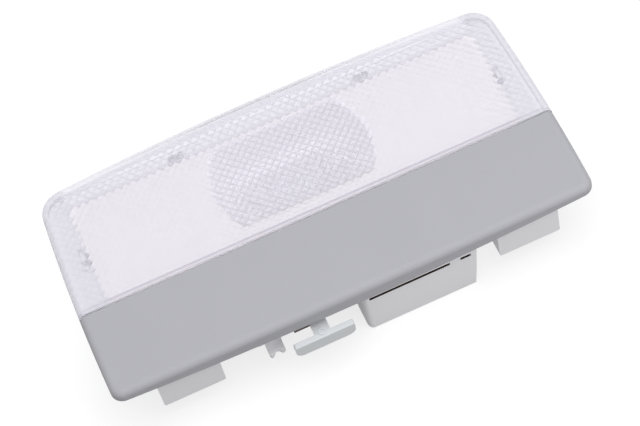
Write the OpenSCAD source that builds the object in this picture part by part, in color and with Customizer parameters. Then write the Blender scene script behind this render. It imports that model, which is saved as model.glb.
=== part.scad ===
// Car dome light: a plain trim cover and a prismatic lens side by side on one moulded housing,
// with a festoon bulb in a round well and a slide switch whose T lever comes out at the near edge.
// Millimetres. +Z is out of the visible face, X runs along the lamp, +Y goes towards the lens's
// far edge. The origin is under the middle of the lamp, on the plane that its back stands on.

/* [Outline] */
// Length of the lamp at its widest
body_l = 150; // [144:0.5:160]
// Width of the trim cover, from the join to the near edge
cover_w = 29.2; // [28.6:0.1:31.6]
// Width of the lens, from the join to the far edge
lens_w = 45.7; // [44:0.1:50]
// Radius of the bow in both ends
side_bow_r = 650; // [400:10:2000]
// How far the widest place lies on the cover's side of the join
side_bow_y = 12.6; // [3:0.1:22]
// Radius of the bow in the far edge
far_bow_r = 915; // [500:5:3000]
// Radius of the bow in the near edge
near_bow_r = 5000; // [1500:100:9000]
// Radius of the two corners at the far edge
far_corner_r = 7.5; // [4:0.5:12]
// Radius of the two corners at the near edge
near_corner_r = 3.6; // [3:0.1:9]
// Radius of the rounded edge between the face and the skirt
edge_r = 2.2; // [1:0.1:3]

/* [Depths] */
// Height of the cover's face above the back
depth = 26.5; // [24.8:0.1:29]
// Height of the lens above the cover's face
lens_proud = 0.5; // [0.2:0.1:1]
// Depth of the skirt at its middle
skirt_depth = 6; // [5.6:0.1:6.6]
// Radius of the roof that the back edge of the skirt follows
roof_r = 1100; // [700:50:3000]
// Depth of the white panel below the cover's face
panel_drop = 3; // [2.8:0.1:3.4]

/* [Walls] */
// Thickness of the cover's plate
cover_t = 2; // [1.8:0.1:2.2]
// Thickness of the skirt and of the lens's side walls
skirt_t = 1.8; // [1.4:0.1:2.2]
// Thickness of the lens's plate
lens_t = 2.4; // [2.2:0.1:2.6]
// Thickness of the housing's walls
base_t = 1.7; // [1.4:0.1:1.9]
// Thickness of the lens's wall along the join
join_wall_t = 1.2; // [0.8:0.1:1.6]
// Depth of the groove in the panel that the lens's wall stands in
join_groove = 1; // [0.5:0.1:1.1]
// Clearance between mouldings that are fitted together
fit_gap = 0.3; // [0.2:0.05:0.4]
// Clearance of the sliding pieces of the switch
slide_gap = 0.15; // [0.1:0.05:0.25]

/* [Lens prisms] */
// Distance between neighbouring prism grooves
prism_pitch = 1.9; // [1.9:0.05:2.6]
// Depth of a prism groove
prism_depth = 0.35; // [0.25:0.05:0.8]
// Width of the plain band round the prisms
prism_edge = 3.5; // [3:0.1:6]

/* [Housing] */
// Distance from the lamp's end to the housing's end wall
end_overhang = 9.3; // [8.5:0.1:11]
// Distance from the lens's far edge to the housing's far wall
far_overhang = 8.5; // [7.4:0.1:10]
// How much narrower the housing is at its far wall, on each side
base_taper = 1.8; // [1:0.1:3]
// Radius of the housing's corners
base_corner_r = 4; // [2:0.5:6]
// Height of the stiffening ribs behind the panel
rib_h = 2; // [1:0.1:2.4]
// Thickness of the stiffening ribs
rib_t = 1.2; // [0.9:0.1:1.6]
// Distance from the join to the long rib behind the panel's middle
rib_middle = 7; // [6.4:0.1:7.4]
// X of the inner pair of short ribs
rib_inner_x = 36; // [34:0.5:38]
// Distance from the housing's end walls to the outer pair of short ribs
rib_inset = 7.7; // [6:0.1:10]

/* [Bulb well] */
// Radius of the round bulb well at the panel
well_r = 24.5; // [23.5:0.1:25.5]
// Distance from the join to the well's centre
well_y = 19.8; // [19.4:0.1:20.4]
// Distance from the join to the well's flat near wall
well_near = 6.5; // [6.2:0.1:7]
// Width of the well between its flat near and far walls
well_w = 29; // [27:0.1:29.2]
// Radius that the well loses from its rim to its floor
well_draft = 2.5; // [1:0.1:3.5]
// Radius of the fillet round the well's floor
well_fillet = 4; // [2:0.5:5]

/* [Bulb] */
// Height of the bulb's axis above the well's floor
bulb_h = 9.7; // [9:0.1:11]
// Length of the festoon bulb from tip to tip
bulb_l = 36; // [35:0.5:37]
// Radius of the bulb's glass
glass_r = 5; // [4:0.1:5.5]
// Thickness of the bulb's glass
glass_t = 0.6; // [0.4:0.1:0.8]
// Radius of the bulb's end caps
cap_r = 4; // [3.6:0.1:4.4]
// Length of a cap's straight part
cap_l = 4; // [3:0.1:4.2]
// Length of a cap's cone
cone_l = 2.8; // [2.4:0.1:3.2]
// Wall of the cap round the glass's neck
cap_wall = 0.4; // [0.3:0.05:0.6]
// Radius of the cap's blunt tip
tip_r = 1; // [0.8:0.1:1.4]
// Radius of the filament wire as a coil
filament_r = 0.35; // [0.25:0.05:0.5]
// Thickness of the heat shield under the bulb
shield_t = 0.4; // [0.3:0.1:0.6]
// Length of the heat shield
shield_l = 24; // [16:0.5:28]
// Half of the angle that the heat shield wraps round the bulb
shield_a = 62; // [40:1:70]

/* [Contacts] */
// Thickness of the brass strips
strip_t = 0.4; // [0.3:0.05:0.5]
// Thickness of the bulb's spring clips
clip_t = 0.5; // [0.4:0.05:0.6]
// Width of a bulb clip
clip_w = 8; // [6:0.1:9]
// Width of the contact lanes on the board
lane_w = 1.8; // [1.6:0.1:1.9]
// Distance from the row of blades to the middle of the lamp lane
lamp_lane_in = 6; // [5.6:0.1:6.2]
// Distance from the row of blades to the middle of the pads' lane
pad_lane_in = 2.5; // [2.3:0.1:2.8]
// Distance from the row of blades to the middle of the door lane, on the near side
door_lane_out = 1.5; // [1.3:0.1:1.7]
// Width of the links between the lanes and the bulb
link_w = 2.6; // [2.4:0.1:3]
// Width of a plug blade
blade_w = 6.3; // [4.8:0.1:6.5]
// Thickness of a plug blade
blade_t = 0.8; // [0.6:0.1:1]
// Distance from the outer blades to the socket's end walls
blade_side = 2.3; // [1.8:0.1:3]
// Distance from the pocket's front inner face to the row of blades
blade_in = 4.5; // [4:0.1:5]
// How far the blades stay inside the socket's mouth
blade_recess = 3; // [2:0.1:5]
// Radius of a rivet's shank
rivet_r = 0.7; // [0.5:0.05:0.75]
// Radius of a rivet's head
rivet_head_r = 1.1; // [0.9:0.05:1.2]
// Height of a rivet's head
rivet_head_h = 0.4; // [0.3:0.05:0.5]
// Clearance of a rivet's or a stake's hole
hole_gap = 0.05; // [0.03:0.01:0.1]

/* [Switch board] */
// Thickness of the insulating board
board_t = 1.4; // [1:0.1:1.6]
// Height of the pocket between the panel's back and the board
pocket_h = 5.85; // [5.6:0.05:6]
// How far the pocket's front outer face lies behind the plug box's
pocket_step = 1.8; // [1.6:0.1:1.9]
// Distance from the middle of the lamp lane to the pocket's rear inner face
pocket_back = 3.4; // [3:0.1:3.8]
// X of the pocket's left inner face
pocket_left = -29.4; // [-31:0.1:-29.2]
// How far the board's tongue reaches out of the pocket's front wall
tongue_l = 0.6; // [0.4:0.1:2]
// Radius of the moulded stakes that hold the board
stake_r = 1.1; // [0.9:0.1:1.2]

/* [Switch lever] */
// Travel of the lever
travel = 4.6; // [3.6:0.1:4.8]
// X of the lever's middle in its resting place
lever_x = -12.95; // [-13.2:0.05:-12.5]
// Width of the lever's stem
stem_w = 4.9; // [4:0.1:5.2]
// Thickness of the lever's stem
stem_t = 1.3; // [1:0.1:1.5]
// How far the T bar's outer face stands out of the plug box's near face
bar_out = 5.6; // [4.8:0.1:8.4]
// Length of the T bar
bar_l = 18.5; // [12:0.1:18.6]
// Height of the T bar
bar_h = 5; // [4:0.1:5.2]
// Thickness of the T bar
bar_t = 1.9; // [1.4:0.1:2.2]
// How far the T bar's top stands above its stem
bar_step = 0.3; // [0:0.1:0.6]
// Radius of the T bar's lower corners
bar_low_r = 2.4; // [1:0.1:2.6]
// Radius of the T bar's upper corners
bar_top_r = 0.7; // [0.4:0.1:1]
// Length of the carriage along its travel
carriage_l = 10.9; // [9:0.1:11.2]
// Height of the skids under the carriage
skid_h = 0.6; // [0.55:0.05:0.8]
// Thickness of the detent spring
detent_t = 0.3; // [0.2:0.05:0.4]
// Length of the grooves that the detent spring clicks into
groove_l = 6; // [4:0.5:8]
// Rise of the detent spring's arch
detent_rise = 0.9; // [0.6:0.05:1]

/* [Plug box] */
// X of the plug box's left face
box_left = 1; // [0.8:0.1:2]
// Length of the plug box at the panel
box_l = 36.8; // [34:0.1:38]
// How much the right end leans in, from the panel to the back
box_lean = 2.5; // [0:0.1:3]
// How far the near face of the plug box and the lugs lies behind the cover's near edge
box_inset = 1.6; // [1:0.1:1.8]
// Width of the plug box from its near to its far face
box_w = 15.2; // [14.6:0.1:16]
// Radius of the plug box's corners
box_r = 1.8; // [0.8:0.1:2.2]
// Height of the long slot in the near wall
slot_h = 1.2; // [0.8:0.1:1.6]
// Distance of the slot's bottom above the board
slot_lift = 0.2; // [0.1:0.05:0.4]
// Thickness of the near wall round the slot
slot_skin = 0.4; // [0.3:0.1:0.6]
// Margin between the slot's left end and the box's left face
slot_margin = 2.2; // [1.4:0.1:3]
// Margin between the slot's right end and the box's right face at the panel
slot_end = 2.6; // [2:0.1:4]
// Distance from the box's right face to the rib that crosses the slot
slot_rib_in = 5.9; // [4:0.1:9]
// Width of the rib that crosses the slot
slot_rib_w = 3.3; // [1:0.1:4]

/* [Lugs, hook and springs] */
// Distance from the housing's left end wall to the middle of the left lug
lug_left_in = 13; // [12:0.1:14]
// Distance from the housing's right end wall to the middle of the right lug
lug_right_in = 12.3; // [11.5:0.1:14]
// Width of a lug
lug_w = 19.2; // [17:0.1:19.6]
// Thickness of a lug from its near to its far face
lug_d = 6.5; // [5:0.1:7]
// Distance of a lug's end from the cover's face
lug_reach = 18; // [15:0.1:20]
// Wall of a lug
lug_t = 1.4; // [1.1:0.1:1.6]
// X of the cable hook's middle
hook_x = -26.65; // [-27:0.05:-26.5]
// Width of the cable hook
hook_w = 4.9; // [4.4:0.1:5]
// Thickness of the cable hook
hook_t = 1.5; // [1.2:0.1:1.8]
// Clearance between the hook's top and the T bar's underside
hook_drop = 0.9; // [0.5:0.1:1.2]
// How far the hook's left tip stands out of the pocket's front face
hook_out = 2.9; // [2.2:0.1:4.8]
// How much shorter the hook's right prong is
hook_short = 0.2; // [0:0.1:1]
// Depth of the notch between the hook's prongs
notch_d = 1.3; // [0.6:0.1:2]
// X of the middle of the right retaining spring
spring_x = 41; // [38:0.5:46]
// Width of a retaining spring
spring_w = 9; // [6:0.5:12]
// Thickness of a retaining spring
spring_t = 0.5; // [0.3:0.1:0.6]
// How far a retaining spring bulges from its tower
spring_bulge = 2.4; // [1.5:0.1:3]
// Length of the spring's tail on the inner side of its tower
spring_tail_l = 5; // [3:0.5:7]
// Length of a retaining spring's tower behind the panel
tower_l = 12; // [10:0.5:14]

/* [Hidden] */
$fn = 48;
eps = 0.02;

// Levels, from the back up
z_face = depth;
z_cover_in = z_face - cover_t;
z_lens = z_face + lens_proud;
z_lens_in = z_lens - lens_t;
z_panel = z_face - panel_drop;
z_panel_back = z_panel - base_t;
z_skirt = z_face - skirt_depth;
z_board = z_panel_back - pocket_h;
z_board_back = z_board - board_t;
z_bulb = base_t + bulb_h;

// Places across the lamp are counted from the join. Each piece is then moved so that the middle
// of the whole lamp, lever included, lies over the origin
box_front = cover_w - box_inset;
bar_reach = box_front + bar_out;
pocket_front = box_front - pocket_step;
pocket_rear = pocket_front - base_t - blade_in - lamp_lane_in - pocket_back;
hook_reach = pocket_front + hook_out;
y_mid = (lens_w - bar_reach) / 2;
base_x = body_l / 2 - end_overhang;
near_bow = base_x * base_x / (2 * near_bow_r);
base_near = -(cover_w - skirt_t - fit_gap - near_bow);
base_far = lens_w - far_overhang;
pocket_y1 = -pocket_rear;
pocket_y0 = -(pocket_front - base_t);
box_right = box_left + box_l;
blade_y = pocket_y0 + blade_in;
blade_x0 = box_left + base_t + blade_side + blade_w / 2;
blade_pitch = (box_l - box_lean) / 2 - base_t - blade_side - blade_w / 2;
slot_rib_x = box_right - slot_rib_in - slot_rib_w;
well_far = well_near + well_w;

// The bulb's own places along X
clip_x = bulb_l / 2 - 0.3 * cone_l;
glass_x = bulb_l / 2 - cone_l - cap_l;

// The switch's own levels and places
z_stem = z_board + slide_gap;
z_bar_top = z_stem + stem_t + bar_step;
z_hook = z_bar_top - bar_h - hook_drop;
z_carriage = z_board + slide_gap + skid_h;
z_carriage_top = z_panel_back - detent_rise - detent_t - slide_gap / 2;
carriage_y0 = pocket_y0 + fit_gap;
carriage_y1 = pocket_y1 - fit_gap;
stem_x0 = lever_x - stem_w / 2;
stem_x1 = lever_x + stem_w / 2;
notch_x0 = stem_x0 - travel - fit_gap;
notch_x1 = stem_x1 + fit_gap;

// Lanes of the contacts on the board, counted across the lamp
lamp_lane_y = blade_y + lamp_lane_in;
pad_lane_y = blade_y + pad_lane_in;
door_lane_y = blade_y - door_lane_out;
pad_w = travel / 2 - 0.4;

// Outline of the lamp's face: four large bows joined by four corner arcs

function bow(side) =
    side == 0 ? [[0, lens_w - far_bow_r], far_bow_r]
  : side == 1 ? [[side_bow_r - body_l / 2, -side_bow_y], side_bow_r]
  : side == 2 ? [[0, near_bow_r - cover_w], near_bow_r]
  :             [[body_l / 2 - side_bow_r, -side_bow_y], side_bow_r];

// The point that lies at radius ra from a and at radius rb from b, on the left of the line a-b
function meet(a, ra, b, rb) =
    let (d = norm(b - a), u = (b - a) / d, k = (d * d + ra * ra - rb * rb) / (2 * d))
    a + k * u + sqrt(ra * ra - k * k) * [-u.y, u.x];

// Corner i lies between bow i and bow i+1, going round from the far edge to the left end
function corner_r(i) = i == 0 || i == 3 ? far_corner_r : near_corner_r;
function corner(i) =
    let (r = corner_r(i), a = bow(i), b = bow((i + 1) % 4))
    meet(a[0], a[1] - r, b[0], b[1] - r);
function heading(p) = atan2(p.y, p.x);
function unwind(a, from) = a < from ? a + 360 : a;

function corner_arc(i, inset, n) =
    let (c = corner(i), r = corner_r(i) - inset, a0 = heading(c - bow(i)[0]),
         a1 = unwind(heading(c - bow((i + 1) % 4)[0]), a0))
    [for (k = [0:n]) let (a = a0 + (a1 - a0) * k / n) c + r * [cos(a), sin(a)]];

function bow_arc(i, inset, n) =
    let (b = bow(i), a0 = heading(corner((i + 3) % 4) - b[0]),
         a1 = unwind(heading(corner(i) - b[0]), a0))
    [for (k = [1:n - 1]) let (a = a0 + (a1 - a0) * k / n) b[0] + (b[1] - inset) * [cos(a), sin(a)]];

function outline(inset) =
    [for (i = [0:3]) each concat(bow_arc(i, inset, 10), corner_arc(i, inset, 8))];

// Plan shapes and solids that several pieces share

module round_rect(x0, x1, y0, y1, r) {
    translate([x0 + r, y0]) square([x1 - x0 - 2 * r, y1 - y0]);
    translate([x0, y0 + r]) square([x1 - x0, y1 - y0 - 2 * r]);
    for (x = [x0 + r, x1 - r], y = [y0 + r, y1 - r]) translate([x, y]) circle(r);
}

module block(x0, x1, y0, y1, z0, z1) {
    translate([x0, y0, z0]) cube([x1 - x0, y1 - y0, z1 - z0]);
}

// All that lies on the cabin's side of the roof, which is a cylinder along Y
module cabin_side(extra = 0) {
    translate([0, 0, z_skirt + roof_r])
        rotate([90, 0, 0])
            cylinder(r = roof_r + extra, h = 4 * lens_w, center = true, $fn = 720);
}

// A solid with the lamp's outline and a rounded top edge
module rounded_slab(top) {
    steps = 8;
    function layer(k) = [top - edge_r * (1 - cos(90 * k / steps)), edge_r * (1 - sin(90 * k / steps))];
    for (k = [0:steps - 1])
        hull()
            for (s = [layer(k), layer(k + 1)])
                translate([0, 0, s[0] - eps]) linear_extrude(eps) polygon(outline(s[1]));
    translate([0, 0, z_skirt - 1]) linear_extrude(top - edge_r - z_skirt + 1) polygon(outline(0));
}

module inner_space(top) {
    translate([0, 0, z_skirt - 2]) linear_extrude(top - z_skirt + 2) polygon(outline(skirt_t));
}

// A strip of even thickness along a path in a plane
function turn(p, i) =
    let (n = len(p), a = p[max(i - 1, 0)], b = p[i], c = p[min(i + 1, n - 1)],
         u = i == 0 ? (c - b) / norm(c - b) : (b - a) / norm(b - a),
         v = i == n - 1 ? u : (c - b) / norm(c - b), m = (u + v) / norm(u + v))
    [-m.y, m.x] / (m * u);
module strip_shape(p, t) {
    n = len(p);
    polygon(concat([for (i = [0:n - 1]) p[i] + turn(p, i) * t / 2],
                   [for (i = [n - 1:-1:0]) p[i] - turn(p, i) * t / 2]));
}

// Trim cover: the plain grey half, with its skirt, a step for the lens's tongue and snap hooks

tongue_w = 2;
tongue_z0 = z_cover_in;
tongue_z1 = z_cover_in + cover_t / 2 - fit_gap / 2;
front_hook_in = 3.1;
rear_hook_in = 4.5;
hook_arm_w = 4.6;
hook_arm_t = 1.3;
barb = 0.7;
barb_h = 1.4;
barb_flat = 0.4;
arm_end = z_panel_back - barb_h - fit_gap / 3;

// Each hook's x, its y, and the side that its barb looks to
rear_hook_y = -rear_hook_in;
front_hook_y = lug_d + front_hook_in - box_front;
rear_hook_x = base_x - 2 * rib_inset;
front_hook_x = (rib_inner_x + base_x - rib_inset) / 2;
cover_hooks = [for (s = [-1, 1])
                   each [[s * rear_hook_x, rear_hook_y, 1], [s * front_hook_x, front_hook_y, -1]]];

module snap_arm(z0, z1, side) {
    block(-hook_arm_w / 2, hook_arm_w / 2, -hook_arm_t / 2, hook_arm_t / 2, z0, z1);
    translate([-hook_arm_w / 2, side * hook_arm_t / 2, z0])
        rotate([90, 0, 90])
            linear_extrude(hook_arm_w)
                polygon([[-side * eps, 0], [side * slide_gap, 0], [side * barb, barb_h - barb_flat],
                         [side * barb, barb_h], [-side * eps, barb_h]]);
}

module trim_cover() {
    color([0.70, 0.70, 0.72])
        translate([0, -y_mid, 0]) {
            intersection() {
                difference() {
                    rounded_slab(z_face);
                    difference() {
                        inner_space(z_cover_in);
                        block(-body_l, body_l, -fit_gap / 2 - eps, lens_w, 0, z_lens);
                    }
                    block(-body_l, body_l, -tongue_w - fit_gap, lens_w, 0, tongue_z1 + fit_gap / 2);
                }
                block(-body_l, body_l, -2 * cover_w, -fit_gap / 2, 0, z_lens);
                cabin_side();
            }
            cover_side_walls();
            for (h = cover_hooks)
                translate([h[0], h[1], 0]) snap_arm(arm_end, z_cover_in + eps, h[2]);
        }
}

// The skirt at both ends, from the step to the join
module cover_side_walls() {
    intersection() {
        difference() {
            rounded_slab(z_face);
            inner_space(z_face + 1);
        }
        block(-body_l, body_l, -tongue_w - fit_gap - 1, -fit_gap / 2, 0, z_lens);
        cabin_side();
    }
}

// Lens: clear cap with prisms inside, a tongue under the cover's edge and four snap arms

// Room of the prisms: two crossing sets of V grooves, which leave small pyramids between them.
// High points are where two grooves cross, low points are the tips of the pyramids
module prisms() {
    step = prism_pitch / sqrt(2);
    nx = 2 * ceil(body_l / 2 / step);
    ny = ceil(lens_w / step);
    z_low = z_lens_in + eps;
    z_base = z_lens_in - 1;
    height = function (i, j) (i + j) % 2 == 0 ? z_lens_in + prism_depth : z_low;
    at = function (i, j) j * (nx + 1) + i;
    grid = [for (j = [0:ny]) for (i = [0:nx]) [(i - nx / 2) * step, j * step, height(i, j)]];
    base = [for (p = [[0, 0], [nx, 0], [nx, ny], [0, ny]]) [(p.x - nx / 2) * step, p.y * step, z_base]];
    c = len(grid);
    facets = [for (j = [0:ny - 1]) for (i = [0:nx - 1])
                  each (i + j) % 2 == 0
                     ? [[at(i, j), at(i + 1, j + 1), at(i + 1, j)],
                        [at(i, j), at(i, j + 1), at(i + 1, j + 1)]]
                     : [[at(i, j), at(i, j + 1), at(i + 1, j)],
                        [at(i + 1, j), at(i, j + 1), at(i + 1, j + 1)]]];
    walls = [concat([for (i = [0:nx]) at(i, 0)], [c + 1, c]),
             concat([for (j = [0:ny]) at(nx, j)], [c + 2, c + 1]),
             concat([for (i = [nx:-1:0]) at(i, ny)], [c + 3, c + 2]),
             concat([for (j = [ny:-1:0]) at(0, j)], [c, c + 3])];
    intersection() {
        polyhedron(concat(grid, base), concat(facets, walls, [[c, c + 1, c + 2, c + 3]]));
        difference() {
            translate([0, 0, z_lens_in - 1]) linear_extrude(lens_t) polygon(outline(prism_edge));
            block(-body_l, body_l, -2 * cover_w, prism_edge / 2, 0, 2 * z_lens);
        }
    }
}

module lens_arms() {
    end_arm_y = well_y;
    far_arm_x = 30;
    z_far = z_skirt + far_arm_x * far_arm_x / (2 * roof_r) - fit_gap / 3 - barb_h;
    for (s = [-1, 1]) {
        translate([s * (base_x + fit_gap + hook_arm_t / 2), end_arm_y, 0])
            rotate(s * 90) snap_arm(arm_end, z_lens_in + prism_depth, 1);
        translate([s * far_arm_x, base_far + fit_gap + hook_arm_t / 2, 0])
            snap_arm(z_far, z_lens_in + prism_depth, -1);
    }
}

module lens() {
    color([0.88, 0.90, 0.96, 0.6])
        translate([0, -y_mid, 0]) {
            difference() {
                intersection() {
                    rounded_slab(z_lens);
                    block(-body_l, body_l, fit_gap / 2, 2 * lens_w, 0, z_lens + 1);
                    cabin_side();
                }
                inner_space(z_lens_in);
                prisms();
            }
            intersection() {
                block(-body_l, body_l, -tongue_w, fit_gap, tongue_z0, tongue_z1);
                translate([0, 0, tongue_z0]) linear_extrude(cover_t) polygon(outline(skirt_t + fit_gap));
            }
            // wall along the join, which stands in a groove of the panel
            intersection() {
                block(-body_l, body_l, fit_gap / 2, fit_gap / 2 + join_wall_t,
                      z_panel - join_groove, z_lens_in + eps);
                translate([0, 0, z_panel - join_groove])
                    linear_extrude(lens_t) polygon(outline(skirt_t / 2));
            }
            lens_arms();
        }
}

// Base housing: one white moulding, with the panel, its walls, the bulb well, the switch
// pocket, the plug box, two lugs, the cable hook and the spring towers

// The plate is a little narrower at its far edge, and each corner is an arc
panel_corners = [[-base_x, base_near], [base_x, base_near], [base_x, 0], [base_x - base_taper, base_far],
                 [base_taper - base_x, base_far], [-base_x, 0]];

module panel_outline(inset = 0) {
    n = len(panel_corners);
    polygon([for (i = [0:n - 1])
                 each fillet(panel_corners[(i + n - 1) % n], panel_corners[i], panel_corners[(i + 1) % n],
                             inset, base_corner_r)]);
}

// Arc of radius r that rounds corner b between a and c, moved inwards by inset
function fillet(a, b, c, inset, r) =
    let (u = (b - a) / norm(b - a), v = (c - b) / norm(c - b), turning = atan2(u.x * v.y - u.y * v.x, u * v),
         m = b + r * (turn_in(u) + turn_in(v)) / (1 + turn_in(u) * turn_in(v)),
         a0 = atan2(-turn_in(u).y, -turn_in(u).x), n = ceil(turning / 15))
    [for (k = [0:n]) let (w = a0 + turning * k / n) m + (r - inset) * [cos(w), sin(w)]];
function turn_in(u) = [-u.y, u.x];

module panel() {
    translate([0, 0, z_panel_back]) linear_extrude(base_t) panel_outline();
    // wall round the back of the panel, down to the roof
    intersection() {
        translate([0, 0, z_skirt])
            linear_extrude(z_panel - z_skirt)
                difference() {
                    panel_outline();
                    panel_outline(base_t);
                }
        cabin_side();
    }
    // raised rim that the cover lies on
    translate([0, 0, z_panel - eps])
        linear_extrude(z_cover_in - z_panel + eps)
            intersection() {
                difference() {
                    panel_outline();
                    panel_outline(base_t);
                }
                translate([-base_x, base_near]) square([2 * base_x, -base_near - tongue_w - 1]);
            }
}

module back_ribs() {
    difference() {
        for (y = [-rib_middle - rib_t / 2, base_far - 3 * base_t - rib_h])
            block(base_t - base_x, base_x - base_t, y, y + rib_t,
                  z_panel_back - rib_h, z_panel_back + eps);
        // a rib ends at the walls of the switch's pocket
        block(pocket_left, box_left + base_t, pocket_y0, pocket_y1, z_board, z_panel_back);
    }
    for (s = [-1, 1], x = [rib_inner_x, base_x - rib_inset])
        block(s * x - rib_t / 2, s * x + rib_t / 2, base_near + base_t / 2 + lug_d, base_far - base_t / 2,
              z_panel_back - rib_h, z_panel_back + eps);
}

module well_form(r, floor_z, near, far) {
    intersection() {
        translate([0, well_y, 0])
            rotate_extrude($fn = 128)
                polygon(concat([[0, floor_z]],
                               [for (a = [-90:15:0])
                                    [r - well_draft - well_fillet + well_fillet * cos(a),
                                     floor_z + well_fillet + well_fillet * sin(a)]],
                               [[r, z_panel], [0, z_panel]]));
        block(-2 * r, 2 * r, near, far, floor_z - 1, z_panel);
    }
}

module clip_slot(s) {
    w = clip_t + 2 * fit_gap;
    block(s * clip_x - w / 2, s * clip_x + w / 2, well_near - 2 * base_t, well_near + base_t,
          z_bulb - clip_w / 2 - fit_gap, z_bulb + clip_w / 2 + fit_gap);
}

// Near profile of the plug box, in X and Z, with rounded lower corners and a leaning right end
module box_profile(inset) {
    x0 = box_left + inset;
    difference() {
        polygon([[x0, 0], [box_right - box_lean - inset, 0], [box_right - inset, z_panel_back],
                 [x0, z_panel_back]]);
        if (inset == 0)
            difference() {
                translate([x0 - 1, -1]) square([box_r + 1, box_r + 1]);
                translate([x0 + box_r, box_r]) circle(box_r);
            }
    }
}

// The slot's two parts, on the left and on the right of the rib
z_slot = z_board + slot_lift;
slot_parts = [[box_left + slot_margin, slot_rib_x], [slot_rib_x + slot_rib_w, box_right - slot_end]];

module plug_box() {
    difference() {
        intersection() {
            translate([0, -box_front + box_w, 0])
                rotate([90, 0, 0]) linear_extrude(box_w) box_profile(0);
            linear_extrude(z_panel_back)
                round_rect(box_left, box_right, -box_front, -box_front + box_w, box_r);
        }
        // socket for the plug, open at the back
        translate([0, -box_front + box_w - base_t, 0])
            rotate([90, 0, 0])
                linear_extrude(box_w - 2 * base_t)
                    intersection() {
                        box_profile(base_t);
                        translate([0, -1]) square([2 * box_right, z_board_back + 1]);
                    }
        translate([0, -box_front + box_w - base_t, -1])
            rotate([90, 0, 0])
                linear_extrude(box_w - 2 * base_t)
                    translate([box_left + base_t, 0])
                        square([box_l - box_lean - 2 * base_t, 1 + eps]);
        // room over the board, which is part of the switch pocket
        block(box_left - 1, box_right - base_t - box_lean / 2, pocket_y0 - base_t - fit_gap, pocket_y1,
              z_board_back, z_panel_back + eps);
        // long slot in the near wall, with room behind it for the board's front edge
        for (e = slot_parts)
            translate([e[0], 0, 0])
                rotate([90, 0, 90])
                    linear_extrude(e[1] - e[0])
                        polygon([[-box_front - 1, z_slot], [-box_front, z_slot],
                                 [slot_skin - box_front, z_slot - 2 * slot_skin],
                                 [slot_skin - box_front, z_board_back], [pocket_y0, z_board_back],
                                 [pocket_y0, z_slot + slot_h], [-box_front - 1, z_slot + slot_h]]);
    }
}

module lug(x) {
    x0 = x - lug_w / 2;
    z_end = z_face - lug_reach;
    difference() {
        translate([0, -box_front + lug_d, 0])
            rotate([90, 0, 0])
                linear_extrude(lug_d)
                    round_rect(x0, x0 + lug_w, z_end, z_panel_back + 1, 0.8);
        block(x0 + lug_t, x0 + lug_w - lug_t, -box_front + lug_t, -box_front + lug_d - lug_t,
              z_end - 1, z_panel_back - lug_t);
    }
}

module pocket_walls() {
    difference() {
        block(pocket_left - base_t, box_left + base_t, pocket_y0 - base_t, pocket_y1 + base_t,
              z_board_back, z_panel_back + eps);
        block(pocket_left, box_left + 2 * base_t, pocket_y0, pocket_y1, z_board_back - 1, z_panel_back);
    }
    // rear wall of the room over the board, behind the plug box
    block(box_left, box_right - base_t, pocket_y1, pocket_y1 + base_t, z_board_back, z_panel_back + eps);
    block(box_right - base_t - box_lean / 2, box_right - box_lean / 2, -box_front + box_w - eps,
          pocket_y1 + base_t, z_board_back, z_panel_back + eps);
}

module cable_hook() {
    x0 = hook_x - hook_w / 2;
    x1 = hook_x + hook_w / 2;
    prong_r = hook_w / 6;
    notch_w = hook_w / 5;
    block(x0, x1, pocket_y0 - base_t, pocket_y0 + eps, z_hook - hook_t, z_board_back + eps);
    translate([0, 0, z_hook - hook_t])
        linear_extrude(hook_t)
            difference() {
                union() {
                    rect(x0, x0 + 2 * prong_r, prong_r - hook_reach, pocket_y0);
                    translate([x0 + prong_r, prong_r - hook_reach]) circle(prong_r);
                    rect(x1 - 2 * prong_r, x1, prong_r + hook_short - hook_reach, pocket_y0);
                    translate([x1 - prong_r, prong_r + hook_short - hook_reach]) circle(prong_r);
                    rect(x0, x1, prong_r + hook_short - hook_reach, pocket_y0);
                }
                polygon([[x0 + prong_r, -hook_reach - eps], [x1 - prong_r, -hook_reach - eps],
                         [hook_x + notch_w / 2, notch_d - hook_reach],
                         [hook_x - notch_w / 2, notch_d - hook_reach]]);
            }
}

module spring_tower(s) {
    block(s * spring_x - spring_w / 2 - base_t, s * spring_x + spring_w / 2 + base_t,
          base_far - 2 * base_t, base_far, z_panel_back - tower_l, z_panel_back + eps);
}

board_stakes = [[pocket_left + 2.4, blade_y], [-2, pocket_y1 - 2.4],
                [blade_x0 + blade_pitch, pocket_y0 + 1.3],
                [blade_x0 + 2 * blade_pitch + blade_w / 2 + stake_r + fit_gap, pocket_y0 + 1.5]];

stake_head_h = 1;

module stakes() {
    for (p = board_stakes)
        translate([p.x, p.y, 0]) {
            translate([0, 0, z_board_back - eps])
                cylinder(r = stake_r, h = z_panel_back - z_board_back + 2 * eps);
            translate([0, 0, z_board_back - stake_head_h]) cylinder(r = 1.7 * stake_r, h = stake_head_h);
        }
}

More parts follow.
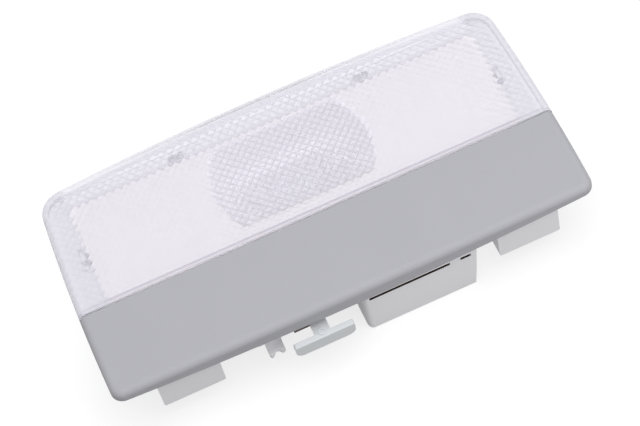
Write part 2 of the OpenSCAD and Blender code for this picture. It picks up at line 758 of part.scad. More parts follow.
module base_housing() {
    color([0.90, 0.91, 0.92])
        translate([0, -y_mid, 0])
            difference() {
                union() {
                    panel();
                    back_ribs();
                    well_form(well_r + base_t, 0, well_near - base_t, well_far + base_t);
                    pocket_walls();
                    plug_box();
                    lug(lug_left_in - base_x);
                    lug(base_x - lug_right_in);
                    cable_hook();
                    spring_tower(-1);
                    spring_tower(1);
                    stakes();
                }
                well_form(well_r, base_t, well_near, well_far);
                translate([0, well_y, z_panel - 1]) intersection() {
                    cylinder(r = well_r, h = 2, $fn = 128);
                    block(-well_r, well_r, well_near - well_y, well_far - well_y, 0, 2);
                }
                // groove for the lens's wall along the join
                block(-body_l, body_l, -fit_gap / 2, 1.5 * fit_gap + join_wall_t,
                      z_panel - join_groove, z_lens);
                clip_slot(-1);
                clip_slot(1);
                lever_notch();
                strip_slots();
                detent_grooves();
                rivet_room();
                for (h = cover_hooks)
                    block(h[0] - hook_arm_w / 2 - fit_gap, h[0] + hook_arm_w / 2 + fit_gap,
                          h[1] - hook_arm_t / 2 - fit_gap,
                          h[1] + hook_arm_t / 2 + fit_gap, z_panel_back - rib_h, z_panel + eps);
                // what lies in front of the housing's near wall stays behind the skirt
                intersection() {
                    block(-body_l, body_l, -2 * cover_w, base_near, 0, 2 * z_face);
                    cabin_side(fit_gap);
                }
            }
}

module lever_notch() {
    block(notch_x0, notch_x1, -2 * cover_w, pocket_y0 + eps, z_board_back - 1, z_stem + stem_t + fit_gap);
}

// Slots in the pocket's rear wall where the lamp strip and the feed strip leave it
module strip_slots() {
    for (x = [lamp_link_x, feed_link_x])
        block(x - link_w / 2 - fit_gap, x + link_w / 2 + fit_gap, pocket_y1 - eps, pocket_y1 + 2 * base_t,
              z_board - eps, z_board + strip_t + fit_gap);
}

// Room for the rivets' lower heads in the walls that carry the board
module rivet_room() {
    for (p = board_rivets)
        translate([p.x, p.y, z_board_back - rivet_head_h - slide_gap])
            cylinder(r = rivet_head_r + slide_gap, h = rivet_head_h + 2 * slide_gap, $fn = 32);
}

// Three shallow grooves over the carriage, one for each place of the lever
module detent_grooves() {
    for (k = [0:2])
        translate([lever_x - k * travel / 2, (carriage_y0 + carriage_y1) / 2, z_panel_back])
            rotate([90, 0, 0]) cylinder(r = 0.5, h = groove_l, center = true, $fn = 24);
}

// Bulb, its caps, clips and heat shield

module heat_shield() {
    r = bulb_h;
    color([0.85, 0.86, 0.88])
        translate([-shield_l / 2, well_y - y_mid, z_bulb])
            rotate([90, 0, 90])
                linear_extrude(shield_l)
                    difference() {
                        circle(r, $fn = 96);
                        circle(r - shield_t, $fn = 96);
                        polygon([[0, 0], 3 * r * [-sin(shield_a), -cos(shield_a)], [-3 * r, 3 * r],
                                 [3 * r, 3 * r], 3 * r * [sin(shield_a), -cos(shield_a)]]);
                    }
}

module along_bulb() {
    translate([0, well_y - y_mid, z_bulb]) rotate([0, 90, 0]) children();
}

// Half section of the glass tube, radius against distance along the bulb: a straight tube, a
// round shoulder and a narrow neck that stands in the cap
neck_r = cap_r - cap_wall - 0.15;
neck_l = 1;
shoulder_l = 3;

function glass_half(inset) =
    let (r = glass_r - inset, r_neck = neck_r - inset, x1 = glass_x - 0.2)
    concat([for (k = [0:6]) let (a = 90 * k / 6)
                [r_neck + (r - r_neck) * cos(a), x1 - shoulder_l + shoulder_l * sin(a)]],
           [[r_neck, x1 + neck_l]]);
function mirrored(p) = [for (q = p) [q.x, -q.y]];
function backwards(p) = [for (k = [len(p) - 1:-1:0]) p[k]];

module bulb_glass() {
    outer = glass_half(0);
    inner = glass_half(glass_t);
    color([0.93, 0.95, 0.97, 0.5])
        along_bulb()
            rotate_extrude($fn = 64)
                polygon(concat(outer, backwards(inner), mirrored(inner), backwards(mirrored(outer))));
}

module bulb_filament() {
    post_r = 0.25;
    post_l = 5;
    color([0.55, 0.55, 0.58])
        along_bulb() {
            cylinder(r = filament_r, h = 2 * glass_x - 6, center = true);
            for (s = [-1, 1])
                translate([0, 0, s * (glass_x + neck_l - post_l / 2)])
                    cylinder(r = post_r, h = post_l, center = true, $fn = 16);
        }
}

module bulb_cap(s) {
    color([0.78, 0.76, 0.70])
        translate([0, well_y - y_mid, z_bulb])
            rotate([0, s * 90, 0])
                rotate_extrude($fn = 64)
                    polygon([[0, bulb_l / 2], [tip_r, bulb_l / 2], [cap_r, bulb_l / 2 - cone_l],
                             [cap_r, glass_x], [cap_r - cap_wall, glass_x],
                             [cap_r - cap_wall, glass_x + neck_l], [0, glass_x + neck_l]]);
}

// Radius of a cap's cone at a distance along the bulb
function cone_at(x) = tip_r + (cap_r - tip_r) * (bulb_l / 2 - x) / cone_l;

clip_tail_l = 3;
clip_tail_y = well_near - 2 * base_t - clip_tail_l;
clip_rivet_y = clip_tail_y + 2 * rivet_head_r;

module bulb_clip(s) {
    hole = cone_at(clip_x - clip_t / 2) + hole_gap;
    color([0.80, 0.66, 0.36])
        translate([s * clip_x, -y_mid, z_bulb])
            rotate([90, 0, 90])
                translate([0, 0, -clip_t / 2])
                    difference() {
                        linear_extrude(clip_t)
                            difference() {
                                round_rect(clip_tail_y, well_y + clip_w / 2, -clip_w / 2, clip_w / 2, 1.2);
                                translate([clip_rivet_y, 0]) circle(rivet_r + hole_gap);
                            }
                        translate([well_y, 0, -1]) cylinder(r = hole, h = clip_t + 2);
                    }
}

strip_x = clip_x + clip_t / 2 + strip_t / 2;

module rivet(grip) {
    cylinder(r = rivet_r, h = grip, center = true, $fn = 32);
    for (s = [-1, 1])
        translate([0, 0, s * (grip + rivet_head_h) / 2])
            cylinder(r = rivet_head_r, h = rivet_head_h, center = true, $fn = 32);
}

module clip_rivets() {
    color([0.83, 0.72, 0.45])
        for (s = [-1, 1])
            translate([s * (clip_x + strip_t / 2), clip_rivet_y - y_mid, z_bulb])
                rotate([0, 90, 0]) rivet(clip_t + strip_t);
}

// Brass strips. Each is a flat blank on the board with one part bent down

feed_link_x = strip_x - strip_t / 2 + link_w / 2;
lamp_link_x = pocket_left + 0.6 + link_w / 2;
feed_blade_x = blade_x0 + 2 * blade_pitch;

module flat_strip() {
    translate([0, 0, z_board]) linear_extrude(strip_t) children();
}

module rect(x0, x1, y0, y1) {
    translate([x0, y0]) square([x1 - x0, y1 - y0]);
}

module blade(x) {
    difference() {
        block(x - blade_w / 2, x + blade_w / 2, blade_y - blade_t / 2, blade_y + blade_t / 2,
              blade_recess, z_board + strip_t);
        translate([x, blade_y, blade_recess + 4]) rotate([90, 0, 0]) cylinder(r = 0.9, h = 2, center = true);
    }
}

// The part that stands beside a bulb clip's tail
module clip_tail(s) {
    difference() {
        block(s * strip_x - strip_t / 2, s * strip_x + strip_t / 2, clip_tail_y, well_near - base_t - fit_gap,
              z_bulb - 2.5, z_board + strip_t);
        translate([s * strip_x, clip_rivet_y, z_bulb])
            rotate([0, 90, 0]) cylinder(r = rivet_r + hole_gap, h = 2, center = true, $fn = 32);
    }
}

module rivet_holes(h = 3) {
    for (p = board_rivets)
        translate([p.x, p.y, z_board - h / 2 - 1]) cylinder(r = rivet_r + hole_gap, h = h + 2, $fn = 32);
}

rivet_row_x = 4;
board_rivets = [[lamp_link_x + link_w / 2 + 0.2, lamp_lane_y], [-rivet_row_x, pad_lane_y],
                [rivet_row_x, pad_lane_y], [-rivet_row_x, door_lane_y], [rivet_row_x, door_lane_y],
                [feed_link_x + link_w / 2 + 0.3, lamp_lane_y], [feed_blade_x, lamp_lane_y]];

module feed_strip() {
    y0 = lamp_lane_y - lane_w / 2;
    y1 = lamp_lane_y + lane_w / 2;
    tail_x = strip_x - strip_t / 2;
    color([0.82, 0.68, 0.36])
        translate([0, -y_mid, 0])
            difference() {
                union() {
                    flat_strip() {
                        rect(tail_x, tail_x + link_w, y0, well_near - base_t - fit_gap);
                        rect(tail_x, feed_blade_x + blade_w / 2, y0, y1);
                        rect(feed_blade_x - blade_w / 2, feed_blade_x + blade_w / 2, blade_y - blade_t / 2, y1);
                    }
                    clip_tail(1);
                    blade(feed_blade_x);
                }
                rivet_holes();
            }
}

module lamp_strip() {
    x0 = lamp_link_x - link_w / 2;
    y_turn = pocket_y1 + base_t + 3;
    tail_x = -strip_x + strip_t / 2;
    color([0.82, 0.68, 0.36])
        translate([0, -y_mid, 0])
            difference() {
                union() {
                    flat_strip() {
                        rect(x0, lever_x + carriage_l / 2 - rivet_head_h,
                             lamp_lane_y - lane_w / 2, lamp_lane_y + lane_w / 2);
                        rect(x0, x0 + link_w, lamp_lane_y - lane_w / 2, y_turn + link_w);
                        rect(x0, tail_x, y_turn, y_turn + link_w);
                        rect(tail_x - link_w, tail_x, y_turn, well_near - base_t - fit_gap);
                    }
                    clip_tail(-1);
                }
                rivet_holes();
            }
}

module ground_strip() {
    x = blade_x0 + blade_pitch;
    y0 = pad_lane_y - lane_w / 2;
    color([0.82, 0.68, 0.36])
        translate([0, -y_mid, 0])
            difference() {
                union() {
                    flat_strip() {
                        rect(lever_x - pad_w / 2, x + blade_w / 2, y0, y0 + lane_w);
                        rect(x - blade_w / 2, x + blade_w / 2, blade_y - blade_t / 2, y0 + lane_w);
                    }
                    blade(x);
                }
                rivet_holes();
            }
}

module door_strip() {
    x = blade_x0;
    pad_x = lever_x - travel / 2;
    y0 = door_lane_y - lane_w / 2;
    color([0.82, 0.68, 0.36])
        translate([0, -y_mid, 0])
            difference() {
                union() {
                    flat_strip() {
                        rect(pad_x - pad_w / 2, pad_x + pad_w / 2, y0, pad_lane_y + lane_w / 2);
                        rect(pad_x - pad_w / 2, x + blade_w / 2, y0, y0 + lane_w);
                        rect(x - blade_w / 2, x + blade_w / 2, y0, blade_y + blade_t / 2);
                    }
                    blade(x);
                }
                rivet_holes();
            }
}

// Switch board, of insulating sheet, with a tongue that shows under the lever and a front edge
// that shows in the plug box's slot

module switch_board() {
    x0 = pocket_left + slide_gap;
    x1 = box_right - base_t - box_lean / 2 - slide_gap;
    y0 = pocket_y0 + slide_gap;
    y1 = pocket_y1 - slide_gap;
    color([0.36, 0.22, 0.13])
        translate([0, -y_mid, 0])
            difference() {
                translate([0, 0, z_board_back])
                    linear_extrude(board_t)
                        difference() {
                            union() {
                                rect(x0, x1, y0, y1);
                                rect(notch_x0 + slide_gap, notch_x1 - slide_gap,
                                     -pocket_front - tongue_l, y0 + eps);
                                for (e = slot_parts)
                                    rect(e[0] + slide_gap, min(e[1] - slide_gap, x1),
                                         slot_skin + slide_gap - box_front, y0 + eps);
                            }
                            for (p = board_stakes) translate(p) circle(stake_r + 2 * hole_gap);
                            for (k = [0:2])
                                rect(blade_x0 + k * blade_pitch - blade_w / 2 - 2 * hole_gap,
                                     blade_x0 + k * blade_pitch + blade_w / 2 + 2 * hole_gap,
                                     blade_y - blade_t / 2 - 2 * hole_gap,
                                     blade_y + blade_t / 2 + 2 * hole_gap);
                        }
                rivet_holes();
            }
}

module contact_rivets() {
    color([0.83, 0.72, 0.45])
        for (p = board_rivets)
            translate([p.x, p.y - y_mid, (z_board + strip_t + z_board_back) / 2])
                rivet(board_t + strip_t);
}

// Slide switch: the T lever with its carriage, the bridging contact and the detent spring

module bar_profile() {
    x0 = lever_x - bar_l / 2;
    x1 = lever_x + bar_l / 2;
    z0 = z_bar_top - bar_h;
    difference() {
        rect(x0, x1, z0, z_bar_top);
        for (s = [-1, 1])
            translate([s < 0 ? x0 : x1, z0])
                difference() {
                    square(2 * bar_low_r, center = true);
                    translate([-s * bar_low_r, bar_low_r]) circle(bar_low_r);
                }
        for (s = [-1, 1])
            translate([s < 0 ? x0 : x1, z_bar_top])
                difference() {
                    square(2 * bar_top_r, center = true);
                    translate([-s * bar_top_r, -bar_top_r]) circle(bar_top_r);
                }
    }
}

contact_h = 0.5;
contact_w = 3;

module switch_lever() {
    boss_r = 1.2;
    recess_x = contact_w / 2 + 0.2;
    color([0.84, 0.85, 0.87])
        translate([0, -y_mid, 0])
            difference() {
                union() {
                    translate([0, -bar_reach + bar_t, 0])
                        rotate([90, 0, 0]) linear_extrude(bar_t) bar_profile();
                    block(stem_x0, stem_x1, -bar_reach + bar_t - eps, carriage_y0 + eps,
                          z_stem, z_stem + stem_t);
                    block(lever_x - carriage_l / 2, lever_x + carriage_l / 2, carriage_y0, carriage_y1,
                          z_carriage, z_carriage_top);
                    for (y = [carriage_y0, carriage_y1 - 0.9])
                        block(lever_x - carriage_l / 2, lever_x + carriage_l / 2, y, y + 0.9,
                              z_stem, z_carriage + eps);
                    translate([lever_x, -bar_reach + bar_t, z_stem])
                        cylinder(r = boss_r, h = stem_t + bar_step + 0.3);
                }
                translate([lever_x, -bar_reach + bar_t, z_bar_top])
                    cylinder(r = boss_r / 2, h = 1);
                // seat of the bridging contact
                block(lever_x - recess_x, lever_x + recess_x, pad_lane_y - 1.4, lamp_lane_y + 1.4,
                      z_carriage - 1, z_carriage + contact_h);
            }
}

// Bridging contact: a bent strip that lies in the carriage and touches two lanes
module slider_contact() {
    z_top = z_carriage + contact_h - strip_t / 2;
    z_low = z_board + strip_t + slide_gap / 3 + strip_t / 2;
    y_mid_lane = (pad_lane_y + lamp_lane_y) / 2;
    half = (lamp_lane_y - pad_lane_y) / 2;
    color([0.85, 0.70, 0.38])
        translate([lever_x - contact_w / 2, y_mid_lane - y_mid, 0])
            rotate([90, 0, 90])
                linear_extrude(contact_w)
                    strip_shape([[-half - 1.1, z_top], [-half - 0.5, z_low], [-half + 0.5, z_low],
                                 [-half + 1.1, z_top], [half - 1.1, z_top], [half - 0.5, z_low],
                                 [half + 0.5, z_low], [half + 1.1, z_top]], strip_t * 0.8);
}

module detent_spring() {
    half = carriage_l / 2 - 1;
    z0 = z_carriage_top + detent_t / 2;
    y = (carriage_y0 + carriage_y1) / 2;
    color([0.72, 0.74, 0.77])
        translate([lever_x, y + 2 - y_mid, 0])
            rotate([90, 0, 0])
                linear_extrude(4)
                    strip_shape([for (k = [-8:8])
                                     [half * k / 8, z0 + detent_rise * (1 + cos(180 * k / 8)) / 2]],
                                detent_t);
}

// Retaining spring: a steel leaf hooked over its tower, bulging towards the edge of the roof opening

module retaining_spring(s) {
    z_low = z_panel_back - tower_l - spring_t / 2;
    y_in = base_far - 2 * base_t - spring_t / 2;
    y_out = base_far + spring_t / 2;
    color([0.70, 0.72, 0.75])
        translate([s * spring_x - spring_w / 2, -y_mid, 0])
            rotate([90, 0, 90])
                linear_extrude(spring_w)
                    strip_shape([[y_in, z_low + spring_tail_l], [y_in, z_low], [y_out, z_low],
                                 [y_out + spring_bulge, z_low + tower_l * 0.45],
                                 [y_out + spring_bulge, z_low + tower_l * 0.6],
                                 [y_out + fit_gap, z_low + tower_l * 0.85]], spring_t);
}

trim_cover();
lens();
base_housing();
heat_shield();
bulb_glass();
bulb_filament();
bulb_cap(-1);  // bulb_cap_left
bulb_cap(1);  // bulb_cap_right
bulb_clip(-1);  // bulb_clip_left
bulb_clip(1);  // bulb_clip_right
clip_rivets();
feed_strip();
lamp_strip();
door_strip();
ground_strip();
switch_board();
contact_rivets();
switch_lever();
slider_contact();
detent_spring();
retaining_spring(-1);  // retaining_spring_left
retaining_spring(1);  // retaining_spring_right
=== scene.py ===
"""Looks of the car dome light: materials on the CAD nodes, light, floor and camera.

Metres, in the CAD frame: +Z out of the visible face, X along the lamp, +Y towards the lens's far edge.
"""

import math

import bpy
from mathutils import Matrix, Vector


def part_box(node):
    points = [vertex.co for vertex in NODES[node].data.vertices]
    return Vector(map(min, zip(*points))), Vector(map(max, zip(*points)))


MM = 0.001

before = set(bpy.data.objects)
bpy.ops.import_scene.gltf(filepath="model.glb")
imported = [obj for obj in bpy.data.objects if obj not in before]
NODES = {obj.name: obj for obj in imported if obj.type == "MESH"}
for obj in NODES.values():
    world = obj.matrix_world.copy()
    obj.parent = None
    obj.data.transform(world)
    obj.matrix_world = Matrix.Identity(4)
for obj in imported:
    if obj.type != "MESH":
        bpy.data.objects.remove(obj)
scene = bpy.context.scene


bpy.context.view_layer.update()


# Colours

def srgb(red, green, blue):
    """A colour as seen, 0 to 255 each, in the linear values that shaders take."""
    def linear(value):
        part = value / 255
        return part / 12.92 if part <= 0.04045 else ((part + 0.055) / 1.055) ** 2.4
    return (linear(red), linear(green), linear(blue), 1.0)


def grey(value):
    return (value, value, value, 1.0)


def dimmed(colour, loss):
    """The colour with a share of its light lost."""
    return tuple(part * (1 - loss) for part in colour[:3]) + (1.0,)


# Node helpers

class Graph:
    """The node tree of a material or the world, with short calls for the nodes that are used here."""

    def __init__(self, owner, output):
        owner.use_nodes = True
        self.owner = owner
        self.tree = owner.node_tree
        self.tree.nodes.clear()
        self.output = self.tree.nodes.new(output)

    def add(self, kind, inputs=None, **settings):
        """A new node. Each input, by name or number, is a value or another node's socket."""
        node = self.tree.nodes.new(kind)
        for key, value in settings.items():
            setattr(node, key, value)
        for key, value in (inputs or {}).items():
            if isinstance(value, bpy.types.NodeSocket):
                self.tree.links.new(value, node.inputs[key])
            else:
                node.inputs[key].default_value = value
        return node

    def place(self):
        """Object coordinates, so that a finish moves with its piece."""
        return self.add("ShaderNodeTexCoord").outputs["Object"]

    def math(self, operation, *values):
        return self.add("ShaderNodeMath", dict(enumerate(values)), operation=operation).outputs[0]

    def times(self, first, second):
        return self.math("MULTIPLY", first, second)

    def flip(self, value):
        """1 for 0, and 0 for 1."""
        return self.math("SUBTRACT", 1, value)

    def most(self, first, *others):
        """The largest of the values."""
        for other in others:
            first = self.math("MAXIMUM", first, other)
        return first

    def step(self, value, edge, blend):
        """0 where the value is below the edge, 1 above it, over a short blend."""
        limits = {"Value": value, "From Min": edge - blend, "From Max": edge + blend}
        return self.add("ShaderNodeMapRange", limits).outputs["Result"]

    def spread(self, value, low, high):
        """Value from 0 to 1 mapped to low to high."""
        limits = {"Value": value, "To Min": low, "To Max": high}
        return self.add("ShaderNodeMapRange", limits).outputs["Result"]

    def noise(self, scale, detail=2.0, rough=0.5, stretch=None):
        """Noise from 0 to 1, stretched by a scale for each axis where that is given."""
        place = self.place()
        if stretch:
            place = self.add("ShaderNodeMapping", {"Vector": place, "Scale": stretch}).outputs["Vector"]
        grain = {"Vector": place, "Scale": scale, "Detail": detail, "Roughness": rough}
        return self.add("ShaderNodeTexNoise", grain).outputs["Fac"]

    def mix(self, factor, first, second):
        return self.add("ShaderNodeMix", {0: factor, 6: first, 7: second}, data_type="RGBA").outputs[2]

    def bump(self, height, depth, strength=1.0):
        relief = {"Height": height, "Distance": depth, "Strength": strength}
        return self.add("ShaderNodeBump", relief).outputs["Normal"]

    def principled(self, **inputs):
        """A Principled shader. An input is named by its label with _ for each space."""
        named = {key.replace("_", " "): value for key, value in inputs.items()}
        return self.add("ShaderNodeBsdfPrincipled", named).outputs["BSDF"]

    def either(self, factor, first, second):
        """The first shader where the factor is 0, the second where it is 1."""
        return self.add("ShaderNodeMixShader", {0: factor, 1: first, 2: second}).outputs[0]

    def is_ray(self, *kinds):
        """1 for rays of the kinds named."""
        path = self.add("ShaderNodeLightPath").outputs
        return self.most(*[path[f"Is {kind} Ray"] for kind in kinds])

    def let_light_through(self, shader, tint):
        """The shader for what the camera sees. Light for what lies behind goes straight through."""
        straight = self.add("ShaderNodeBsdfTransparent", {"Color": tint}).outputs[0]
        return self.either(self.is_ray("Shadow", "Diffuse"), shader, straight)

    def surface(self, socket):
        """Ends the graph with this shader and gives its material or world."""
        self.tree.links.new(socket, self.output.inputs["Surface"])
        return self.owner


def finish_graph(name):
    return Graph(bpy.data.materials.new(name), "ShaderNodeOutputMaterial")


# Finishes of plastic, metal and board

PLASTIC_IOR = 1.5
ACRYLIC_IOR = 1.49


def grained_plastic(name, colour, roughness, grain_scale, grain_depth, cloud_loss):
    """Moulded plastic: fine grain, a faint cloudiness of colour and slightly uneven gloss."""
    g = finish_graph(name)
    shader = g.principled(
        Base_Color=g.mix(g.noise(scale=60, detail=3), dimmed(colour, cloud_loss), colour),
        Roughness=g.spread(g.noise(scale=400), roughness - 0.05, roughness + 0.05),
        IOR=PLASTIC_IOR,
        Normal=g.bump(g.noise(grain_scale, detail=3, rough=0.6), grain_depth),
    )
    return g.surface(shader)


def rolled_metal(name, colour, roughness, stretch=(1, 12, 12), tarnish=0.15):
    """Sheet metal with fine rolling lines and a little tarnish."""
    g = finish_graph(name)
    lines = g.noise(scale=900, detail=3, stretch=stretch)
    shader = g.principled(
        Base_Color=g.mix(g.noise(scale=150, detail=4), dimmed(colour, tarnish), colour),
        Metallic=1.0,
        Roughness=g.spread(lines, roughness - 0.06, roughness + 0.08),
        Normal=g.bump(lines, 0.02 * MM, strength=0.6),
    )
    return g.surface(shader)


def laminated_board(name, dark_fibre, light_fibre):
    """Laminated sheet: paper fibres and slightly uneven resin."""
    g = finish_graph(name)
    fibres = g.noise(scale=500, detail=4, stretch=(1, 5, 20))
    shader = g.principled(
        Base_Color=g.mix(fibres, dark_fibre, light_fibre),
        Roughness=g.spread(g.noise(scale=300), 0.4, 0.6),
        Normal=g.bump(fibres, 0.03 * MM),
    )
    return g.surface(shader)


def clear_glass(name, tint):
    g = finish_graph(name)
    shader = g.principled(
        Base_Color=tint,
        Roughness=g.spread(g.noise(scale=200), 0.0, 0.03),
        IOR=PLASTIC_IOR,
        Transmission_Weight=1.0,
    )
    return g.surface(g.let_light_through(shader, tint))


# Finish of the lens, with painted shade and painted light. Places are measured from the pieces round it.
# The painted marks are chosen prism by prism, by where the prism's middle lies, so that the edges of what
# lies behind show jagged, as through real prisms.

COVER_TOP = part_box("trim_cover")[1]
HOUSING_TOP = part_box("base_housing")[1]
LENS_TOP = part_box("lens")[1]
BULB_MIDDLE = sum(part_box("bulb_glass"), Vector()) / 2

JOIN_GAP = 0.3 * MM
JOIN_Y = COVER_TOP.y + JOIN_GAP / 2
# Painted shadow: a dark line painted on the lens's inner side beside the join wall's root
JOIN_SHADOW_Y = JOIN_Y + 2.15 * MM
JOIN_SHADOW_HALF = 0.35 * MM

# The prisms stand at 45 degrees, 1.9 mm apart. Half a groove's width is a share of their period.
PRISM_PERIOD = 1.9 * MM * math.sqrt(2)
GROOVE_HALF = 0.16
INNER_SIDE_Z = LENS_TOP.z - 1.5 * MM
PRISMS_FAR_Y = LENS_TOP.y - 6.45 * MM

# Edges of the well and the panel as they show through the lens, which bound the painted shade and the
# painted light
WELL_RADIUS = 24.5 * MM
WELL_NEAR_Y = JOIN_Y + 6.5 * MM
WELL_FAR_Y = JOIN_Y + 34.25 * MM
PANEL_END_X = HOUSING_TOP.x - 0.5 * MM
PANEL_FAR_Y = HOUSING_TOP.y - 1.45 * MM
PANEL_BORDER = 1.4 * MM
MASK_BLEND = 0.3 * MM
LINE_BLEND = 0.1 * MM

# How dark the grooves are painted, from 0 to 1: painted shade
WELL_LINES = 0.82
BAND_LINES = 0.90
RIM_LINES = 0.10

# Painted shade on the prisms' faces beyond the panel, from 0 to 1
END_PAINTED_SHADE = 0.45
FAR_PAINTED_SHADE = 0.24
BORDER_PAINTED_SHADE = 0.60

LENS_CLEARNESS = 0.62
PRISM_ROUGHNESS = 0.16


def prisms(g, x, y):
    """1 in the grooves and 0 on the prisms' faces, and the x and y of each prism's middle."""
    from_join = g.math("SUBTRACT", y, JOIN_Y)
    lines, middles = [], []
    for sign in (1, -1):
        turns = g.math("DIVIDE", g.math("MULTIPLY_ADD", from_join, sign, x), PRISM_PERIOD)
        to_groove = g.math("PINGPONG", turns, 0.5)
        lines.append(g.flip(g.step(to_groove, GROOVE_HALF / 2, GROOVE_HALF / 2)))
        middles.append(g.math("ADD", g.math("FLOOR", turns), 0.5))
    middle_x = g.times(g.math("ADD", *middles), PRISM_PERIOD / 2)
    middle_y = g.times(g.math("SUBTRACT", *middles), PRISM_PERIOD / 2)
    return g.most(*lines), middle_x, g.math("ADD", middle_y, JOIN_Y)


def over_well(g, x, y):
    """1 over the round well, which is cut flat at its near and far side."""
    away = g.math("SUBTRACT", y, BULB_MIDDLE.y)
    radius = g.math("SQRT", g.math("ADD", g.times(x, x), g.times(away, away)))
    well = g.flip(g.step(radius, WELL_RADIUS, MASK_BLEND))
    well = g.times(well, g.step(y, WELL_NEAR_Y, MASK_BLEND))
    return g.times(well, g.flip(g.step(y, WELL_FAR_Y, MASK_BLEND)))


def beyond_panel(g, x, y, distance=0.0):
    """Two masks: 1 beyond the panel's ends, and 1 beyond its far edge, by the distance given."""
    end = g.step(g.math("ABSOLUTE", x), PANEL_END_X + distance, MASK_BLEND)
    return end, g.step(y, PANEL_FAR_Y + distance, MASK_BLEND)


def clear_plastic(name, panel_tint, rim_tint, well_painted_light, painted_shade_colour):
    """Clear moulded lens: smooth outside, with faint ripples from the mould, and prisms inside.

    Its tint is painted by place: darker and warmer over the panel, and lighter over the well as painted
    light.
    Painted shade: the grooves are painted dark over the well and beyond the panel, the prisms' faces beyond
    the panel are painted darker, and a painted shadow line runs beside the join.
    """
    g = finish_graph(name)
    axes = g.add("ShaderNodeSeparateXYZ", {0: g.place()}).outputs
    inner = g.flip(g.step(axes["Z"], INNER_SIDE_Z, MASK_BLEND))

    grooves, x, y = prisms(g, axes["X"], axes["Y"])
    well = over_well(g, x, y)
    end, far = beyond_panel(g, x, y)
    border = g.math("SUBTRACT", g.most(end, far), g.most(*beyond_panel(g, x, y, PANEL_BORDER)))
    far_band = g.times(far, g.flip(g.step(y, PRISMS_FAR_Y, MASK_BLEND)))

    # Painted shade: the grooves painted dark over the well and beyond the panel
    in_well = g.times(well, WELL_LINES)
    in_band = g.times(g.most(end, far_band), BAND_LINES)
    lines = g.times(grooves, g.most(in_well, in_band, g.times(far, RIM_LINES)))
    # Painted shade on the prisms' faces beyond the panel's ends, its far edge and along its border
    painted_shade = g.most(g.times(end, END_PAINTED_SHADE), g.times(far_band, FAR_PAINTED_SHADE), g.times(border, BORDER_PAINTED_SHADE))
    # Painted shadow line beside the join, on the lens's inner side
    off_line = g.math("ABSOLUTE", g.math("SUBTRACT", axes["Y"], JOIN_SHADOW_Y))
    painted_join_shadow = g.flip(g.step(off_line, JOIN_SHADOW_HALF, LINE_BLEND))
    painted_dark = g.times(g.most(lines, painted_shade, painted_join_shadow), inner)

    # Tint painted by place: darker and warmer over the panel, and lighter over the well as painted light
    tint = g.mix(well, g.mix(g.most(end, far), panel_tint, rim_tint), well_painted_light)
    # Base colour: the tint by place, with the painted shade and painted shadow mixed in
    shader = g.principled(
        Base_Color=g.mix(painted_dark, tint, painted_shade_colour),
        Roughness=g.math("MULTIPLY_ADD", inner, PRISM_ROUGHNESS, g.spread(g.noise(scale=90), 0.02, 0.06)),
        IOR=ACRYLIC_IOR,
        Transmission_Weight=LENS_CLEARNESS,
        Normal=g.bump(g.noise(scale=45), 0.04 * MM, strength=0.4),
    )
    return g.surface(g.let_light_through(shader, grey(1)))


# Each node's finish

# The lens's tints by place, with the well's painted light and the colour of the painted shade
LENS = clear_plastic("lens_clear", panel_tint=(0.885, 0.853, 0.903, 1), rim_tint=(0.90, 0.89, 0.94, 1),
                     well_painted_light=(0.955, 0.93, 1.0, 1), painted_shade_colour=(0.35, 0.33, 0.42, 1))
GLASS = clear_glass("bulb_glass", (0.97, 0.98, 0.98, 1))
COVER = grained_plastic("cover_grey", srgb(181, 181, 186), 0.62, 2600, 0.03 * MM, 0.04)
HOUSING = grained_plastic("housing_white", srgb(246, 245, 248), 0.45, 1500, 0.01 * MM, 0.02)
LEVER = grained_plastic("lever_white", srgb(222, 225, 227), 0.38, 1500, 0.01 * MM, 0.02)
BOARD = laminated_board("board_brown", srgb(44, 27, 18), srgb(84, 54, 36))
BRASS = rolled_metal("strip_brass", (0.78, 0.60, 0.28, 1), 0.30)
SPRING_BRASS = rolled_metal("spring_brass", (0.88, 0.86, 0.80, 1), 0.62, tarnish=0.05)
RIVET_BRASS = rolled_metal("rivet_brass", (0.83, 0.68, 0.38, 1), 0.25, stretch=(8, 8, 1))
ALUMINIUM = rolled_metal("shield_aluminium", (0.94, 0.94, 0.95, 1), 0.70, tarnish=0.03)
NICKEL = rolled_metal("cap_nickel", (0.90, 0.89, 0.88, 1), 0.62, stretch=(8, 1, 1), tarnish=0.05)
STEEL = rolled_metal("spring_steel", (0.58, 0.60, 0.63, 1), 0.30)
WIRE = rolled_metal("filament_wire", (0.42, 0.42, 0.44, 1), 0.35)

FINISHES = {
    "trim_cover": COVER, "lens": LENS, "base_housing": HOUSING, "heat_shield": ALUMINIUM,
    "bulb_glass": GLASS, "bulb_filament": WIRE, "bulb_cap_left": NICKEL, "bulb_cap_right": NICKEL,
    "bulb_clip_left": SPRING_BRASS, "bulb_clip_right": SPRING_BRASS, "clip_rivets": RIVET_BRASS,
    "feed_strip": BRASS, "lamp_strip": BRASS, "door_strip": BRASS, "ground_strip": BRASS,
    "switch_board": BOARD, "contact_rivets": RIVET_BRASS, "switch_lever": LEVER,
    "slider_contact": SPRING_BRASS, "detent_spring": STEEL,
    "retaining_spring_left": STEEL, "retaining_spring_right": STEEL,
}

for name, material in FINISHES.items():
    NODES[name].data.materials.clear()
    NODES[name].data.materials.append(material)


# Floor and world: both look white, directly, in gloss and through the lens, and are plain to the light

SEEN = ("Camera", "Glossy", "Transmission")
FLOOR_SIZE = 6
FLOOR_DROP = 0.2 * MM
FLOOR_LIT = 0.34
FLOOR_SHADOWED = 0.30
FLOOR_GLOW = 0.75
SKY_TINT = (0.97, 0.975, 1.0, 1)
SKY_LIGHT = 0.36


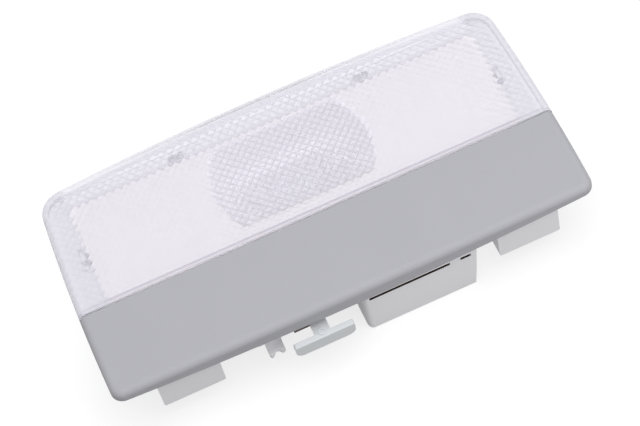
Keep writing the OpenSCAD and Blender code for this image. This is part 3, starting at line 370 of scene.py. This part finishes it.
def build_floor():
    """A pale floor for the light. Where it is seen, it glows to white and keeps the lamp's shadow."""
    bpy.ops.mesh.primitive_plane_add(size=FLOOR_SIZE, location=(0, 0, -FLOOR_DROP))
    floor = bpy.context.object
    floor.name = "floor"
    g = finish_graph("floor_pale")
    lit = g.add("ShaderNodeBsdfDiffuse", {"Color": grey(FLOOR_LIT)}).outputs[0]
    shadowed = g.add("ShaderNodeBsdfDiffuse", {"Color": grey(FLOOR_SHADOWED)}).outputs[0]
    glow = g.add("ShaderNodeEmission", {"Color": grey(1), "Strength": FLOOR_GLOW}).outputs[0]
    shown = g.add("ShaderNodeAddShader", {0: shadowed, 1: glow}).outputs[0]
    floor.data.materials.append(g.surface(g.either(g.is_ray(*SEEN), lit, shown)))


def build_world():
    g = Graph(bpy.data.worlds.new("studio"), "ShaderNodeOutputWorld")
    soft = g.add("ShaderNodeBackground", {"Color": SKY_TINT, "Strength": SKY_LIGHT}).outputs[0]
    white = g.add("ShaderNodeBackground", {"Color": grey(1), "Strength": 1.0}).outputs[0]
    scene.world = g.surface(g.either(g.is_ray(*SEEN), soft, white))


def area_lamp(name, place, target, size, power):
    """A square lamp, in metres and watts, that doesn't show in gloss."""
    data = bpy.data.lights.new(name, "AREA")
    data.shape = "SQUARE"
    data.size = size
    data.energy = power
    lamp = bpy.data.objects.new(name, data)
    lamp.visible_glossy = False
    lamp.location = place
    lamp.rotation_euler = (Vector(target) - Vector(place)).to_track_quat("-Z", "Y").to_euler()
    scene.collection.objects.link(lamp)


def build_light():
    area_lamp("key", place=(0.05, -0.08, 1.1), target=(0, 0, 0), size=1.1, power=9.3)
    area_lamp("front", place=(0.22, -0.32, 0.14), target=(0.04, -0.03, 0.01), size=0.25, power=0.32)


# Camera: the photograph's view, from above the near edge, turned so that the lamp lies aslant

CAMERA_PLACE = Vector((-58.6, -373.8, 643.5)) * MM
CAMERA_AIM = Vector((0.76, -6.6, 26.5)) * MM
CAMERA_ROLL = math.radians(-16)
IMAGE_WIDTH = 640
FOCAL_PIXELS = 2500
SENSOR_MM = 36
NEAREST_SEEN = 10 * MM


def build_camera():
    data = bpy.data.cameras.new("camera")
    data.sensor_width = SENSOR_MM
    data.lens = FOCAL_PIXELS / IMAGE_WIDTH * SENSOR_MM
    data.clip_start = NEAREST_SEEN
    camera = bpy.data.objects.new("camera", data)
    look = (CAMERA_AIM - CAMERA_PLACE).to_track_quat("-Z", "Y").to_matrix().to_4x4()
    camera.matrix_world = Matrix.Translation(CAMERA_PLACE) @ look @ Matrix.Rotation(CAMERA_ROLL, 4, "Z")
    scene.collection.objects.link(camera)
    scene.camera = camera


build_floor()
build_world()
build_light()
build_camera()
scene.view_settings.view_transform = "Standard"
